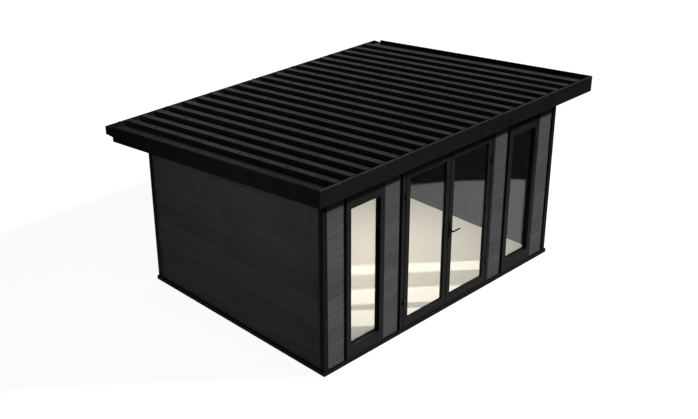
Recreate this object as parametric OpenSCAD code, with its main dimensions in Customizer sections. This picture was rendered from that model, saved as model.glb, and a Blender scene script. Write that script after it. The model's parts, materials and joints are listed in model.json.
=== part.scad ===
// Garden room with a single-pitch roof of ribbed metal sheet, boarded walls
// and a glazed front with two fixed windows and a pair of outward doors.
// X runs along the glazed front, -Y is the front and +Z is up.
// The origin is the middle of the footprint at ground level.

/* [Building] */
// Width across the corner posts
shed_w = 4110; // [3600:10:6000]
// Depth across the corner posts
shed_d = 3080; // [2400:10:4500]
// Height of the roof's front edge above the ground
roof_front_z = 2500; // [2460:10:3000]
// Fall of the roof from front to back, in degrees
roof_fall = 5.8; // [3:0.1:7]

/* [Base and floor] */
// Height of the base rails
base_h = 50; // [30:5:100]
// How far the base rails stand out past the corner posts
base_out = 18; // [5:1:30]
// Height of the finished floor above the ground
floor_z = 60; // [55:1:110]

/* [Walls] */
// Width of a corner post's face
post_w = 60; // [40:5:100]
// How far the posts stand proud of the boards
post_proud = 20; // [5:1:30]
// Thickness of a wall, boards and lining included
wall_t = 100; // [70:5:160]

/* [Front] */
// Width of a boarded panel in the front
panel_w = 285; // [150:5:500]
// Height at which the beam over the doors and windows starts
header_z = 2150; // [2000:5:2190]
// How far the frames stand proud of the boards
frame_proud = 30; // [20:1:50]
// Depth of the window and door frames from front to back
frame_depth = 90; // [70:5:110]

/* [Windows] */
// Width of a window over its frame
window_w = 600; // [400:5:900]
// Width of a window's stiles
window_stile_w = 70; // [40:1:100]
// Height of a window's sill rail
window_sill_h = 155; // [60:1:250]
// Height of a window's head rail
window_head_h = 200; // [60:1:250]

/* [Doors] */
// Width of a door jamb's face
jamb_w = 50; // [40:1:80]
// Height of the frame's head over the doors
door_head_h = 50; // [40:1:80]
// Gap between a leaf and the frame, and between the two leaves
leaf_gap = 12; // [8:1:16]
// Thickness of a door leaf
leaf_t = 50; // [40:1:60]
// Width of a leaf's stiles
leaf_stile_w = 65; // [50:1:90]
// Height of a leaf's bottom rail
leaf_bottom_h = 95; // [60:1:200]
// Height of a leaf's top rail
leaf_top_h = 78; // [60:1:150]
// Height of the threshold above the ground
threshold_z = 62; // [56:1:80]
// Thickness of the strips that the closed leaves meet
stop_t = 20; // [10:1:25]
// How far those strips reach behind a closed leaf
stop_lap = 12; // [5:1:20]
// Room between a closed leaf and the strips behind it
stop_gap = 6; // [5:1:8]

/* [Glass] */
// Thickness of the glass units
glass_t = 24; // [6:1:28]
// Distance from a frame's front to its glass
glass_set_back = 45; // [5:1:50]
// Distance from a leaf's front to its glass
leaf_glass_set_back = 14; // [5:1:20]

/* [Hinges and handle] */
// Radius of a hinge barrel
barrel_r = 8; // [6:0.5:12]
// Length of a hinge, both halves together
hinge_l = 96; // [60:2:140]
// Distance from a leaf's end to the middle of its nearer hinge
hinge_inset = 320; // [150:5:450]
// Distance from the leaf's front to the hinge pin
hinge_out = 10; // [9:0.5:14]
// Radius of a hinge pin
pin_r = 4; // [3:0.5:5]
// Clearance around pins and between hinge halves
run_gap = 0.3; // [0.1:0.1:0.5]
// Length of a hinge flag from the pin
flag_l = 40; // [30:1:60]
// Thickness of a hinge flag
flag_t = 4; // [2:0.5:6]
// Height of the lever above the ground
lever_z = 1075; // [900:5:1200]
// Distance from the pin of the lever to its tip
lever_l = 125; // [90:1:150]
// Distance from the leaf's face to the middle of the lever's grip
lever_out = 50; // [35:1:60]
// Radius of the lever's grip
grip_r = 9; // [7:0.5:12]
// Width of the plates behind the lever
plate_w = 36; // [24:1:50]
// Height of the plates behind the lever
plate_h = 220; // [140:5:260]
// Share of the plates that lies under the pin of the lever
plate_below = 0.4; // [0.3:0.05:0.7]
// How much wider the lever is at its hub than at its grip, all round
hub_over = 2; // [1:0.5:5]
// Radius of the lever's pin
spindle_r = 5; // [4:0.5:6]
// Thickness of the plates behind the lever
plate_t = 8; // [4:1:12]

/* [Roof] */
// How far the roof reaches past the front posts
overhang_front = 290; // [200:5:450]
// How far the roof reaches past the side posts
overhang_side = 310; // [200:5:450]
// How far the roof reaches past the back posts
overhang_back = 280; // [150:5:450]
// Height of the boards around the roof's edge
fascia_h = 197; // [180:1:260]
// Thickness of the boards around the roof's edge
fascia_t = 20; // [10:1:40]
// Height of a rib on the roof sheets
rib_h = 45; // [20:1:60]
// Distance from rib to rib
rib_pitch = 219.5; // [150:0.5:260]
// Width of a rib's top
rib_top_w = 78; // [30:1:100]
// Width of a rib's foot
rib_foot_w = 118; // [102:1:140]
// Least width of the flat strip beside an outer rib
rib_edge = 100; // [20:1:200]
// Thickness of a roof sheet between its ribs
sheet_t = 8; // [4:1:20]
// How far the ribs stand above the boards around the edge
rib_over = 6; // [0:1:15]
// Thickness of the boards under the roof
lining_t = 12; // [8:1:20]
// How far the lining lies above the bottom edge of the fascia
lining_up = 12; // [5:1:20]
// Clearance where pieces lie against each other along the roof's slope
seat_gap = 0.3; // [0.1:0.1:0.5]

/* [Gutter] */
// Depth of the gutter from front to back
gutter_d = 140; // [100:5:180]
// Height of the gutter
gutter_h = 105; // [80:5:130]
// Thickness of the gutter's walls
gutter_t = 4; // [2:1:6]
// How far the gutter's rim lies below the roof's edge
gutter_down = 32; // [20:1:45]
// How far the roof sheets reach over the gutter
sheet_over = 45; // [20:1:80]

/* [Hidden] */

$fn = 48;
cut = 10;

black_metal = "#18191b";
charcoal_board = "#333639";
cream_floor = "#e8e2d2";
steel = "#8e9296";

// Half sizes and the planes of the front
half_w = shed_w / 2;
half_d = shed_d / 2;
inner_half_w = half_w - post_proud - wall_t;
inner_half_d = half_d - post_proud - wall_t;
base_rail_w = base_out + post_proud + wall_t;
board_y = -half_d + post_proud;
frame_y = board_y - frame_proud;
door_w = shed_w - 2 * post_w - 4 * panel_w - 2 * window_w;

// Roof lines: a height on the roof's reference plane for a distance from front to back
roof_y0 = -half_d - overhang_front;
roof_y1 = half_d + overhang_back;
roof_x1 = half_w + overhang_side;
function roof_z(y) = roof_front_z - (y - roof_y0) * tan(roof_fall);
sheet_top_drop = rib_h - rib_over;
sheet_drop = sheet_top_drop + sheet_t;
lining_bottom_drop = fascia_h - lining_up;
core_drop = lining_bottom_drop - lining_t;
wall_drop = core_drop + seat_gap;

// Whole ribs fill the roof between its side boards and are shared out over the sheets
core_half_w = roof_x1 - fascia_t;
sheets_half_w = core_half_w - seat_gap;
sheet_count = 5;
rib_count = floor((2 * (sheets_half_w - rib_edge) - rib_foot_w) / rib_pitch) + 1;
function sheet_first_rib(i) = round(i * rib_count / sheet_count);
function rib_x(k) = (k - rib_count / 2) * rib_pitch;

// Edges of the front's parts, from the left post
panel_1_x = -half_w + post_w;
window_1_x = panel_1_x + panel_w;
panel_2_x = window_1_x + window_w;
door_x = panel_2_x + panel_w;

// Door leaves
leaf_z0 = threshold_z + leaf_gap / 2;
leaf_z1 = header_z - door_head_h - leaf_gap / 2;
leaf_h = leaf_z1 - leaf_z0;
leaf_w = (door_w - 2 * jamb_w - 3 * leaf_gap) / 2;
leaf_x = door_x + jamb_w + leaf_gap;
leaf_y = frame_y;
hinge_x = leaf_x - leaf_gap / 2;
hinge_y = leaf_y - hinge_out;
hinge_zs = [leaf_z0 + hinge_inset, leaf_z1 - hinge_inset];
stile_mid_x = leaf_gap / 2 + leaf_stile_w / 2;
lever_hub_r = grip_r + hub_over;

// A block given by two opposite corners
module block(lo, hi) {
    translate(lo) cube(hi - lo);
}

// Whatever follows, and its mirror image across the middle of the front
module on_right() {
    mirror([1, 0, 0]) children();
}

// A slab between two distances under the roof's reference plane
module roof_slab(x0, x1, y0, y1, top, bottom) {
    translate([x0, 0, 0]) rotate([90, 0, 90]) linear_extrude(x1 - x0)
        polygon([
            [y0, roof_z(y0) - bottom], [y1, roof_z(y1) - bottom],
            [y1, roof_z(y1) - top], [y0, roof_z(y0) - top]
        ]);
}

// A wall piece that stands on the base and ends under the roof core
module wall_slab(x0, x1, y0, y1, z0) {
    translate([x0, 0, 0]) rotate([90, 0, 90]) linear_extrude(x1 - x0)
        polygon([
            [y0, z0], [y1, z0],
            [y1, roof_z(y1) - wall_drop], [y0, roof_z(y0) - wall_drop]
        ]);
}

// ---- base and floor ----

module base_long() {
    block([-half_w - base_out, -half_d - base_out, 0],
          [half_w + base_out, -half_d - base_out + base_rail_w, base_h]);
}

module base_short() {
    block([-half_w - base_out, -half_d - base_out + base_rail_w, 0],
          [-half_w - base_out + base_rail_w, half_d + base_out - base_rail_w, base_h]);
}

module base_front() color(black_metal) base_long();
module base_back() color(black_metal) mirror([0, 1, 0]) base_long();
module base_left() color(black_metal) base_short();
module base_right() color(black_metal) on_right() base_short();

// The floor lies between the walls, inside the base rails
module floor_slab() {
    color(cream_floor)
        block([-inner_half_w, -inner_half_d, 0], [inner_half_w, inner_half_d, floor_z]);
}

// ---- posts and walls ----

module post(y0) {
    wall_slab(-half_w, -half_w + post_w, y0, y0 + post_w, base_h);
}

module post_front_left() color(black_metal) post(-half_d);
module post_front_right() color(black_metal) on_right() post(-half_d);
module post_back_left() color(black_metal) post(half_d - post_w);
module post_back_right() color(black_metal) on_right() post(half_d - post_w);

// A side wall fills the space between its two posts, and is notched where the
// front panel and the back wall pass behind the posts
module side_wall() {
    difference() {
        wall_slab(-half_w + post_proud, -inner_half_w, -half_d + post_w, half_d - post_w, base_h);
        for (y0 = [-inner_half_d - wall_t, inner_half_d])
            translate([-half_w + post_w, y0, 0]) cube([wall_t, wall_t, roof_front_z]);
    }
}

module wall_left() color(charcoal_board) side_wall();
module wall_right() color(charcoal_board) on_right() side_wall();

module wall_back() {
    color(charcoal_board)
        wall_slab(-half_w + post_w, half_w - post_w, inner_half_d, inner_half_d + wall_t, base_h);
}

// ---- front ----

module panel(x0) {
    block([x0, board_y, base_h], [x0 + panel_w, board_y + wall_t, header_z]);
}

module panel_outer_left() color(charcoal_board) panel(panel_1_x);
module panel_inner_left() color(charcoal_board) panel(panel_2_x);
module panel_inner_right() color(charcoal_board) on_right() panel(panel_2_x);
module panel_outer_right() color(charcoal_board) on_right() panel(panel_1_x);

module front_beam() {
    color(black_metal)
        wall_slab(-half_w + post_w, half_w - post_w, board_y, board_y + wall_t, header_z);
}

// A fixed window: a frame around a glass unit
module window_frame() {
    y1 = frame_y + frame_depth;
    difference() {
        block([window_1_x, frame_y, base_h], [window_1_x + window_w, y1, header_z]);
        block([window_1_x + window_stile_w, frame_y - cut, base_h + window_sill_h],
              [window_1_x + window_w - window_stile_w, y1 + cut, header_z - window_head_h]);
    }
}

module window_glass() {
    y0 = frame_y + glass_set_back;
    block([window_1_x + window_stile_w, y0, base_h + window_sill_h],
          [window_1_x + window_w - window_stile_w, y0 + glass_t, header_z - window_head_h]);
}

module window_frame_left() color(black_metal) window_frame();
module window_frame_right() color(black_metal) on_right() window_frame();
module window_glass_left() color("lightsteelblue", 0.4) window_glass();
module window_glass_right() color("lightsteelblue", 0.4) on_right() window_glass();

// ---- door frame ----

module door_jamb() {
    block([door_x, frame_y, base_h], [door_x + jamb_w, frame_y + frame_depth, header_z]);
}

module door_jamb_left() color(black_metal) door_jamb();
module door_jamb_right() color(black_metal) on_right() door_jamb();

module door_head() {
    x0 = door_x + jamb_w;
    color(black_metal)
        block([x0, frame_y, header_z - door_head_h], [-x0, frame_y + frame_depth, header_z]);
}

// The threshold runs from the frame's front to the floor's edge
module door_threshold() {
    x0 = door_x + jamb_w;
    color(steel) block([x0, frame_y, base_h], [-x0, -inner_half_d, threshold_z]);
}

// The strips inside the frame that the closed leaves stop short of
module door_stops() {
    x0 = door_x + jamb_w;
    x1 = x0 + leaf_gap + stop_lap;
    y0 = leaf_y + leaf_t + stop_gap;
    z1 = header_z - door_head_h;
    z0 = z1 - leaf_gap / 2 - stop_lap;
    color(black_metal) {
        difference() {
            block([x0, y0, threshold_z], [-x0, y0 + stop_t, z1]);
            block([x1, y0 - cut, threshold_z - cut], [-x1, y0 + stop_t + cut, z0]);
        }
    }
}

// ---- door leaves ----

module leaf(bored) {
    difference() {
        block([leaf_x, leaf_y, leaf_z0], [leaf_x + leaf_w, leaf_y + leaf_t, leaf_z1]);
        block([leaf_x + leaf_stile_w, leaf_y - cut, leaf_z0 + leaf_bottom_h],
              [leaf_x + leaf_w - leaf_stile_w, leaf_y + leaf_t + cut, leaf_z1 - leaf_top_h]);
        if (bored)
            translate([-stile_mid_x, leaf_y - cut, lever_z]) rotate([-90, 0, 0])
                cylinder(r = spindle_r + run_gap, h = leaf_t + 2 * cut);
    }
}

module leaf_glass() {
    y0 = leaf_y + leaf_glass_set_back;
    block([leaf_x + leaf_stile_w, y0, leaf_z0 + leaf_bottom_h],
          [leaf_x + leaf_w - leaf_stile_w, y0 + glass_t, leaf_z1 - leaf_top_h]);
}

module door_leaf_left() color(black_metal) leaf(false);
module door_leaf_right() color(black_metal) on_right() leaf(true);
module door_glass_left() color("lightsteelblue", 0.4) leaf_glass();
module door_glass_right() color("lightsteelblue", 0.4) on_right() leaf_glass();

// ---- hinges ----

// The half on the jamb: lower knuckle, flag and the pin
module jamb_half() {
    translate([hinge_x, hinge_y, -hinge_l / 2]) {
        cylinder(r = barrel_r, h = hinge_l / 2 - run_gap);
        cylinder(r = pin_r, h = hinge_l);
        translate([-flag_l, hinge_out - flag_t, 0])
            cube([flag_l, flag_t, hinge_l / 2 - run_gap]);
    }
}

// The half on the leaf: upper knuckle, bored for the pin, and its flag
module leaf_half() {
    translate([hinge_x, hinge_y, 0])
        difference() {
            union() {
                cylinder(r = barrel_r, h = hinge_l / 2);
                translate([0, hinge_out - flag_t, 0]) cube([flag_l, flag_t, hinge_l / 2]);
            }
            translate([0, 0, -cut]) cylinder(r = pin_r + run_gap, h = hinge_l + 2 * cut);
        }
}

module hinge_jamb_halves() {
    color(steel) for (z = hinge_zs) translate([0, 0, z]) {
        jamb_half();
        on_right() jamb_half();
    }
}

module hinge_leaf_halves() {
    for (z = hinge_zs) translate([0, 0, z]) leaf_half();
}

module hinge_leaf_halves_left() color(steel) hinge_leaf_halves();
module hinge_leaf_halves_right() color(steel) on_right() hinge_leaf_halves();

// ---- handle ----

// One plate on each face of the right leaf's meeting stile
module handle_plates() {
    x0 = stile_mid_x - plate_w / 2;
    color(steel) for (y0 = [leaf_y - plate_t, leaf_y + leaf_t])
        difference() {
            z0 = lever_z - plate_h * plate_below;
            block([x0, y0, z0], [x0 + plate_w, y0 + plate_t, z0 + plate_h]);
            translate([stile_mid_x, y0 - cut, lever_z]) rotate([-90, 0, 0])
                cylinder(r = spindle_r + run_gap, h = plate_t + 2 * cut);
        }
}

// A grip on its neck, standing out towards -Y from a leaf face at y = 0
module lever_grip() {
    face = plate_t + run_gap;
    translate([0, -face, 0]) rotate([90, 0, 0]) cylinder(r = lever_hub_r, h = lever_out - face);
    translate([0, -lever_out, 0]) {
        sphere(r = lever_hub_r);
        rotate([0, 90, 0]) cylinder(r = grip_r, h = lever_l - grip_r);
        translate([lever_l - grip_r, 0, 0]) sphere(r = grip_r);
    }
}

module door_lever() {
    color(steel) translate([stile_mid_x, leaf_y, lever_z]) {
        lever_grip();
        translate([0, leaf_t, 0]) mirror([0, 1, 0]) lever_grip();
        translate([0, -lever_out, 0]) rotate([-90, 0, 0])
            cylinder(r = spindle_r, h = leaf_t + 2 * lever_out);
    }
}

// ---- roof ----

module roof_core() {
    color(black_metal)
        roof_slab(-core_half_w, core_half_w, roof_y0 + fascia_t, roof_y1 - fascia_t,
                  sheet_drop + seat_gap, core_drop);
}

module ceiling() {
    color(charcoal_board)
        roof_slab(-inner_half_w, inner_half_w, -inner_half_d, inner_half_d,
                  wall_drop, lining_bottom_drop);
}

// The boards under the overhang, fitted around the walls and the posts
module soffit() {
    wall_x = half_w - post_proud;
    wall_y = half_d - post_proud;
    color(black_metal) difference() {
        roof_slab(-core_half_w, core_half_w, roof_y0 + fascia_t, roof_y1 - fascia_t,
                  wall_drop, lining_bottom_drop);
        block([-wall_x, -wall_y, 0], [wall_x, wall_y, roof_front_z]);
        for (x0 = [-half_w, half_w - post_w], y0 = [-half_d, half_d - post_w])
            translate([x0, y0, 0]) cube([post_w, post_w, roof_front_z]);
    }
}

// Cross-section of a roof sheet between two edges, with its ribs on top
module sheet_profile(x0, x1, first_rib, last_rib) {
    foot = rib_foot_w / 2;
    top = rib_top_w / 2;
    polygon(concat(
        [[x0, 0], [x1, 0], [x1, sheet_t]],
        [for (k = [last_rib:-1:first_rib]) let (x = rib_x(k + 0.5)) each [
            [x + foot, sheet_t], [x + top, sheet_t + rib_h],
            [x - top, sheet_t + rib_h], [x - foot, sheet_t]
        ]],
        [[x0, sheet_t]]
    ));
}

// A sheet lies on the roof core and runs out over the gutter
module roof_sheet(i) {
    first = sheet_first_rib(i);
    next = sheet_first_rib(i + 1);
    x0 = i == 0 ? -sheets_half_w : rib_x(first);
    x1 = i == sheet_count - 1 ? sheets_half_w : rib_x(next);
    y0 = roof_y0 + fascia_t;
    run = roof_y1 + sheet_over - y0;
    color(black_metal) translate([0, y0, roof_z(y0) - sheet_drop])
        rotate([90 - roof_fall, 0, 0]) mirror([0, 0, 1])
            linear_extrude(run / cos(roof_fall)) sheet_profile(x0, x1, first, next - 1);
}

module roof_sheet_1() roof_sheet(0);
module roof_sheet_2() roof_sheet(1);
module roof_sheet_3() roof_sheet(2);
module roof_sheet_4() roof_sheet(3);
module roof_sheet_5() roof_sheet(4);

module fascia_front() {
    color(black_metal) block([-roof_x1, roof_y0, roof_front_z - fascia_h],
                             [roof_x1, roof_y0 + fascia_t, roof_front_z]);
}

module fascia_back() {
    color(black_metal)
        roof_slab(-core_half_w, core_half_w, roof_y1 - fascia_t, roof_y1,
                  sheet_drop + seat_gap, fascia_h);
}

module barge() {
    roof_slab(-roof_x1, -roof_x1 + fascia_t, roof_y0 + fascia_t, roof_y1, 0, fascia_h);
}

module barge_left() color(black_metal) barge();
module barge_right() color(black_metal) on_right() barge();

// A box gutter with closed ends along the low edge of the roof
module gutter() {
    rim_z = roof_z(roof_y1) - gutter_down;
    back_rim_z = roof_z(roof_y1 + sheet_over) - sheet_drop - gutter_t;
    y1 = roof_y1 + gutter_d;
    z0 = rim_z - gutter_h;
    color(black_metal) difference() {
        block([-roof_x1, roof_y1, z0], [roof_x1, y1, rim_z]);
        block([-roof_x1 + gutter_t, roof_y1 + gutter_t, z0 + gutter_t],
              [roof_x1 - gutter_t, y1 - gutter_t, rim_z + cut]);
        block([-roof_x1 + gutter_t, roof_y1 - cut, back_rim_z],
              [roof_x1 - gutter_t, roof_y1 + gutter_t + cut, rim_z + cut]);
    }
}

base_front();
base_back();
base_left();
base_right();
floor_slab();  // floor
post_front_left();
post_front_right();
post_back_left();
post_back_right();
wall_left();
wall_right();
wall_back();
panel_outer_left();
panel_inner_left();
panel_inner_right();
panel_outer_right();
front_beam();
window_frame_left();
window_frame_right();
window_glass_left();
window_glass_right();
door_jamb_left();
door_jamb_right();
door_head();
door_threshold();
door_stops();
door_leaf_left();
door_glass_left();
door_leaf_right();
door_glass_right();
hinge_jamb_halves();
hinge_leaf_halves_left();
hinge_leaf_halves_right();
handle_plates();
door_lever();
roof_core();
ceiling();
soffit();
roof_sheet_1();
roof_sheet_2();
roof_sheet_3();
roof_sheet_4();
roof_sheet_5();
fascia_front();
fascia_back();
barge_left();
barge_right();
gutter();
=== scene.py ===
"""Looks of a dark garden room: finishes, cladding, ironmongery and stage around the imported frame.

Lengths are metres in the frame's own axes: +X right, +Y to the back, +Z up. The origin is under the middle of
the building.
"""

import json
import logging
import math
from dataclasses import dataclass
from enum import Enum

import bmesh
import bpy
import numpy as np
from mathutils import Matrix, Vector


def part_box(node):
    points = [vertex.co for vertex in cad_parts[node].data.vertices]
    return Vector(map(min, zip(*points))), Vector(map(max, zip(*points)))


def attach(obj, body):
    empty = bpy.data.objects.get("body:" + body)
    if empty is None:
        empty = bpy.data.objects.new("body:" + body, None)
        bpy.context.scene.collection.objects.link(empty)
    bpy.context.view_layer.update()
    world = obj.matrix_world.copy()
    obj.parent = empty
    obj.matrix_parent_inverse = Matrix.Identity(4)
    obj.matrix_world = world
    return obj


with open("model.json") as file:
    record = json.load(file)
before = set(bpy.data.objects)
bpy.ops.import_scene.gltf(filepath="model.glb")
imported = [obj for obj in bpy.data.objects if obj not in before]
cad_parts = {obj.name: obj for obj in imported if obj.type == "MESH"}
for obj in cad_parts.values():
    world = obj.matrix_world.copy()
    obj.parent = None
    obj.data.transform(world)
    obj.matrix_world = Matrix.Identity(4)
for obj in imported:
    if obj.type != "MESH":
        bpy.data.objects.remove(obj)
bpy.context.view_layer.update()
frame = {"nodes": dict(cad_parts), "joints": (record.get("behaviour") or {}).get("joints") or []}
MM = 0.001
WELD = 1e-6  # points closer than this become one
ROOF_PITCH = math.tan(math.radians(5.8))
FULL_TURN = 2 * math.pi
WHITE = (1, 1, 1, 1)
BOARD_PITCH = 192.5 * MM
BOARD_FIRST = 173 * MM
BOARD_JOINTS = 14
PANELS = ("outer_left", "inner_left", "inner_right", "outer_right")
RIGHT, BACK, UP = Vector((1, 0, 0)), Vector((0, 1, 0)), Vector((0, 0, 1))
NOISE_MIDDLE = (0.3, 0.7)  # where most of a noise pattern lies
LOG = logging.getLogger("garden_room")

Tree = bpy.types.NodeTree
Socket = bpy.types.NodeSocket
Material = bpy.types.Material


class Body(Enum):
    """The bodies that a piece can ride on."""

    SHED = "shed"
    LEFT_DOOR = "left_door"
    RIGHT_DOOR = "right_door"
    LEVER = "lever"


# ---------------------------------------------------------------- shapes


@dataclass
class Shape:
    """Points (n, 3) and faces, each a tuple of point numbers."""

    points: np.ndarray
    faces: list[tuple[int, ...]]

    def moved(self, offset: tuple[float, float, float]) -> "Shape":
        """The same shape, shifted by offset."""
        return Shape(self.points + np.asarray(offset, float), self.faces)


def join(shapes: list[Shape]) -> Shape:
    """Puts shapes side by side in one shape.

    Args:
        shapes: closed shapes that keep their places.

    Returns:
        One shape with every point and face.
    """
    starts = np.cumsum([0] + [len(s.points) for s in shapes])
    faces = [tuple(i + start for i in face) for s, start in zip(shapes, starts) for face in s.faces]
    return Shape(np.concatenate([s.points for s in shapes]), faces)


def repeat(shape: Shape, places: np.ndarray) -> Shape:
    """One copy of a shape at each place: every point plus every offset, as one broadcast sum.

    Args:
        shape: the shape to copy, modelled about the origin.
        places: offsets, (n, 3).

    Returns:
        All copies as one shape.
    """
    points = (places[:, None, :] + shape.points[None, :, :]).reshape(-1, 3)
    step = len(shape.points)
    faces = [tuple(i + k * step for i in face) for k in range(len(places)) for face in shape.faces]
    return Shape(points, faces)


def tube_faces(rings: int, sides: int, closed: bool) -> list[tuple[int, ...]]:
    """Quads between neighbouring rings of points, each ring a closed loop.

    Args:
        rings: number of rings.
        sides: points in each ring.
        closed: True where the last ring meets the first, False where end caps close it.

    Returns:
        The faces.
    """
    i = np.arange(rings if closed else rings - 1)[:, None]
    j = np.arange(sides)[None, :]
    after, beside = (i + 1) % rings, (j + 1) % sides
    quads = np.stack([i * sides + j, i * sides + beside, after * sides + beside, after * sides + j], -1)
    faces = [tuple(q) for q in quads.reshape(-1, 4).tolist()]
    if not closed:
        faces.append(tuple(range(sides))[::-1])
        faces.append(tuple(range((rings - 1) * sides, rings * sides)))
    return faces


def prism(outline: np.ndarray, start: Vector, end: Vector, across: Vector, up: Vector) -> Shape:
    """A flat outline carried along a straight path: point = path + a * across + b * up.

    Args:
        outline: closed loop of (a, b) in metres.
        start: first point of the path.
        end: last point of the path.
        across: direction of a.
        up: direction of b.

    Returns:
        A closed bar with flat ends.
    """
    flat = outline[:, :1] * np.asarray(across) + outline[:, 1:] * np.asarray(up)
    path = np.array([start, end], float)
    points = (path[:, None, :] + flat[None, :, :]).reshape(-1, 3)
    return Shape(points, tube_faces(2, len(outline), closed=False))


def picture_frame(outline: np.ndarray, low: tuple[float, float], high: tuple[float, float],
                  y: float) -> Shape:
    """An outline carried round an upright rectangle, mitred at its corners.

    A corner's point is the corner moved by a along both inward diagonals, at depth y + b.

    Args:
        outline: closed loop of (a, b), a inwards from the rectangle and b towards the back.
        low: lowest x and z of the rectangle.
        high: highest x and z of the rectangle.
        y: depth of b = 0.

    Returns:
        A closed ring of four mitred bars.
    """
    corners = np.array([(low[0], low[1]), (high[0], low[1]), (high[0], high[1]), (low[0], high[1])])
    inward = np.array([(1, 1), (-1, 1), (-1, -1), (1, -1)])
    flat = corners[:, None, :] + inward[:, None, :] * outline[None, :, :1]
    depth = np.broadcast_to(y + outline[None, :, 1], flat.shape[:2])
    points = np.stack([flat[..., 0], depth, flat[..., 1]], -1).reshape(-1, 3)
    return Shape(points, tube_faces(4, len(outline), closed=True))


def lathe(profile: np.ndarray, centre: Vector, axis: Vector, sides: int) -> Shape:
    """A profile turned round an axis: point = centre + h * axis + r * (cos t, sin t) in the plane across it.

    Args:
        profile: (r, h) from one end to the other, both ends closed by a flat cap.
        centre: where h is 0.
        axis: unit direction of h.
        sides: steps round the turn.

    Returns:
        A closed turned solid.
    """
    n = np.asarray(axis, float)
    side = np.cross(n, (0, 0, 1) if abs(n[2]) < 0.9 else (1, 0, 0))
    side /= np.linalg.norm(side)
    other = np.cross(n, side)
    t = np.arange(sides) * FULL_TURN / sides
    circle = np.cos(t)[:, None] * side + np.sin(t)[:, None] * other
    points = np.asarray(centre) + profile[:, 1, None, None] * n + profile[:, 0, None, None] * circle[None]
    return Shape(points.reshape(-1, 3), tube_faces(len(profile), sides, closed=False))


def screw_head(radius: float, height: float, axis: tuple[float, float, float], sides: int = 8) -> Shape:
    """A low domed screw head about the origin: r = R cos(a), h = H sin(a) for a few steps of a.

    The first point is the foot, sunk by 0.3 of the height so that the head sits in its bed.
    """
    a = np.radians([0, 0, 35, 65, 84])
    profile = np.stack([radius * np.cos(a), height * np.sin(a)], -1)
    profile[0, 1] = -0.3 * height
    return lathe(profile, Vector((0, 0, 0)), Vector(axis), sides)


def make(name: str, shape: Shape, material: Material, body: Body = Body.SHED,
         smooth: bool = False) -> bpy.types.Object:
    """Turns a shape into a piece that rides on a body.

    Args:
        name: the piece's name.
        shape: its points and faces, in place.
        material: its finish.
        body: what it moves with.
        smooth: True to shade rounded faces smoothly.

    Returns:
        The piece.
    """
    mesh = bpy.data.meshes.new(name)
    mesh.from_pydata(shape.points.tolist(), [], shape.faces)
    work = bmesh.new()
    work.from_mesh(mesh)
    bmesh.ops.remove_doubles(work, verts=work.verts, dist=WELD)
    bmesh.ops.dissolve_degenerate(work, edges=work.edges, dist=WELD)
    bmesh.ops.recalc_face_normals(work, faces=work.faces)
    work.to_mesh(mesh)
    work.free()
    mesh.polygons.foreach_set("use_smooth", np.full(len(mesh.polygons), smooth))
    mesh.materials.append(material)
    piece = bpy.data.objects.new(name, mesh)
    bpy.context.scene.collection.objects.link(piece)
    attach(piece, body.value)
    LOG.info("%s: %d faces on %s", name, len(mesh.polygons), body.value)
    return piece


# ---------------------------------------------------------------- finishes


def linear(colour: str) -> tuple[float, float, float, float]:
    """An sRGB hex colour as linear RGBA."""
    parts = np.array([int(colour[i:i + 2], 16) for i in (1, 3, 5)]) / 255
    low, high = parts / 12.92, ((parts + 0.055) / 1.055) ** 2.4
    return (*np.where(parts <= 0.04045, low, high).tolist(), 1.0)


def add(tree: Tree, kind: str, settings: dict | None = None, **inputs: object) -> bpy.types.Node:
    """Adds one node with its settings and links.

    Args:
        tree: the node tree.
        kind: the node's type name.
        settings: attributes of the node.
        inputs: a value or an output socket for each input. Spaces in a name are written as _, and i0, i1 are
            inputs by number.

    Returns:
        The node.
    """
    node = tree.nodes.new(kind)
    for key, value in (settings or {}).items():
        setattr(node, key, value)
    for key, value in inputs.items():
        numbered = key[0] == "i" and key[1:].isdigit()
        socket = node.inputs[int(key[1:])] if numbered else node.inputs[key.replace("_", " ")]
        if isinstance(value, Socket):
            tree.links.new(value, socket)
        else:
            socket.default_value = value
    return node


def new_material(name: str) -> tuple[Material, Tree, bpy.types.Node, Socket]:
    """An empty material, its tree, its output node and the place on the piece in metres."""
    material = bpy.data.materials.new(name)
    material.use_nodes = True
    tree = material.node_tree
    tree.nodes.clear()
    place = add(tree, "ShaderNodeTexCoord").outputs["Object"]
    return material, tree, add(tree, "ShaderNodeOutputMaterial"), place


def two_tone(tree: Tree, factor: Socket, dark: str, light: str) -> Socket:
    """A colour that goes from dark to light with factor."""
    mix = add(tree, "ShaderNodeMix", {"data_type": "RGBA"}, i0=factor, i6=linear(dark), i7=linear(light))
    return mix.outputs[2]


def maths(tree: Tree, operation: str, first: Socket, second: Socket | float = 0.0) -> Socket:
    """One sum of two values."""
    return add(tree, "ShaderNodeMath", {"operation": operation}, i0=first, i1=second).outputs[0]


def noise(tree: Tree, place: Socket, scale: float, detail: float, roughness: float = 0.5) -> Socket:
    """A smooth noise pattern over a place."""
    return add(tree, "ShaderNodeTexNoise", None, Vector=place, Scale=scale, Detail=detail,
               Roughness=roughness).outputs[0]


def stretched(tree: Tree, place: Socket, scale: tuple[float, float, float]) -> Socket:
    """A place multiplied by a scale along each axis."""
    return add(tree, "ShaderNodeMapping", None, Vector=place, Scale=scale).outputs[0]


def spread(tree: Tree, value: Socket, reach: tuple[float, float], to: tuple[float, float]) -> Socket:
    """A value's reach carried to another one and held at its ends."""
    return add(tree, "ShaderNodeMapRange", None, Value=value, i1=reach[0], i2=reach[1], i3=to[0],
               i4=to[1]).outputs[0]


def bump(tree: Tree, height: Socket, strength: float, depth: float) -> Socket:
    """The way the surface looks over a pattern of heights."""
    return add(tree, "ShaderNodeBump", None, Strength=strength, Distance=depth, Height=height).outputs[0]


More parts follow.
